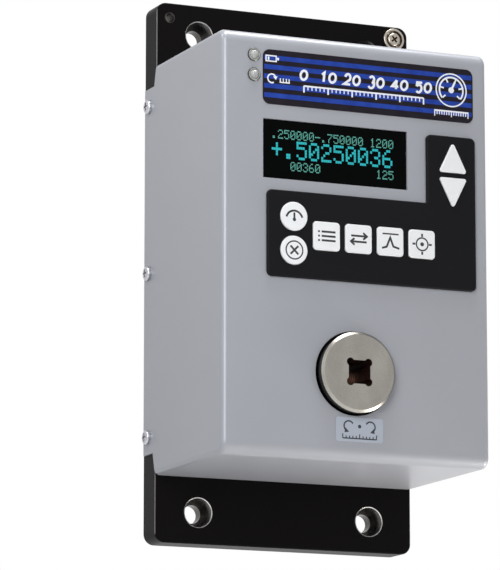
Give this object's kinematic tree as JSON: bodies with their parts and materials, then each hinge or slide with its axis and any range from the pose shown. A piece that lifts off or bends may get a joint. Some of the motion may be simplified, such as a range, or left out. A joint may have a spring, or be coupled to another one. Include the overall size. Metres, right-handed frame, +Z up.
{
  "type": "torque tester",
  "caption": "Wall-mounted digital torque tester: thick back plate, folded sheet housing, square drive on a reaction transducer, display window and keypad.",
  "frame": {"origin": "centre of the back plate's rear face, which lies on the wall", "axes": "+X to the viewer's right, +Y into the wall, +Z up; the front faces -Y"},
  "size_m": [0.1658, 0.1195, 0.305],
  "materials": {
    "black_plate": "satin black",
    "silver_paint": "satin silver",
    "plated_steel": "bright plated",
    "champagne_steel": "bright plated, warm",
    "turned_steel": "fine turned, nickel",
    "black_steel": "black oxide",
    "gauge_foil": "polyimide foil",
    "grey_cable": "matte",
    "red_cable": "matte",
    "window_acrylic": "polished",
    "tube_glass": "clear",
    "circuit_board": "satin mask",
    "charcoal_plastic": "fine matte",
    "white_plastic": "fine matte",
    "black_plastic": "matte",
    "header_film": "printed film",
    "label_foil": "satin foil",
    "lamp_lens": "clear",
    "header_nylon": "matte",
    "brass": "bright",
    "battery_wrap": "shrink film"
  },
  "bodies": {
    "base": {"back_plate": "black_plate", "housing": "silver_paint", "housing_screws": "plated_steel", "transducer": "turned_steel", "transducer_bolts": "black_steel", "strain_gauges": "gauge_foil", "sensor_cable": "grey_cable", "display_window": "window_acrylic", "display_tube": "tube_glass", "display_board": "circuit_board", "display_studs": "plated_steel", "display_nuts": "plated_steel", "display_ribbon": "grey_cable", "keypad_bezel": "charcoal_plastic", "keypad_board": "circuit_board", "contact_domes": "plated_steel", "keypad_screws": "plated_steel", "keypad_ribbon": "grey_cable", "header_label": "header_film", "rating_label": "label_foil", "led_bezels": "black_plastic", "battery_led": "lamp_lens", "torque_led": "lamp_lens", "main_board": "circuit_board", "board_chips": "black_plastic", "board_headers": "header_nylon", "board_standoffs": "brass", "board_screws": "plated_steel", "battery_pack": "battery_wrap", "battery_strap": "plated_steel", "strap_screws": "plated_steel", "battery_lead": "red_cable", "switch_body": "black_plastic", "serial_port": "plated_steel", "serial_jackscrews": "plated_steel", "charger_jack": "black_plastic", "jack_nut": "plated_steel", "side_leads": "grey_cable", "ground_washer": "champagne_steel", "lock_washer": "plated_steel", "ground_screw": "champagne_steel"},
    "zero": {"zero_key": "white_plastic"},
    "clear": {"clear_key": "white_plastic"},
    "menu": {"menu_key": "white_plastic"},
    "units": {"units_key": "white_plastic"},
    "peak": {"peak_key": "white_plastic"},
    "test": {"test_key": "white_plastic"},
    "up": {"up_key": "white_plastic"},
    "down": {"down_key": "white_plastic"},
    "rocker": {"power_rocker": "black_plastic"}
  },
  "joints": [
    {"name": "zero_press", "type": "slide", "parent": "base", "child": "zero", "axis": [0, 1, 0], "range_m": [0, 0.0008], "stiffness_N_per_m": 800, "springref_m": -0.0008},
    {"name": "clear_press", "type": "slide", "parent": "base", "child": "clear", "axis": [0, 1, 0], "range_m": [0, 0.0008], "stiffness_N_per_m": 800, "springref_m": -0.0008},
    {"name": "menu_press", "type": "slide", "parent": "base", "child": "menu", "axis": [0, 1, 0], "range_m": [0, 0.0008], "stiffness_N_per_m": 800, "springref_m": -0.0008},
    {"name": "units_press", "type": "slide", "parent": "base", "child": "units", "axis": [0, 1, 0], "range_m": [0, 0.0008], "stiffness_N_per_m": 800, "springref_m": -0.0008},
    {"name": "peak_press", "type": "slide", "parent": "base", "child": "peak", "axis": [0, 1, 0], "range_m": [0, 0.0008], "stiffness_N_per_m": 800, "springref_m": -0.0008},
    {"name": "test_press", "type": "slide", "parent": "base", "child": "test", "axis": [0, 1, 0], "range_m": [0, 0.0008], "stiffness_N_per_m": 800, "springref_m": -0.0008},
    {"name": "up_press", "type": "slide", "parent": "base", "child": "up", "axis": [0, 1, 0], "range_m": [0, 0.0008], "stiffness_N_per_m": 800, "springref_m": -0.0008},
    {"name": "down_press", "type": "slide", "parent": "base", "child": "down", "axis": [0, 1, 0], "range_m": [0, 0.0008], "stiffness_N_per_m": 800, "springref_m": -0.0008},
    {"name": "rocker_tilt", "type": "hinge", "parent": "base", "child": "rocker", "pos_m": [0.0767, -0.058, 0.07], "axis": [0, 1, 0], "range_deg": [-18, 0]}
  ]
}
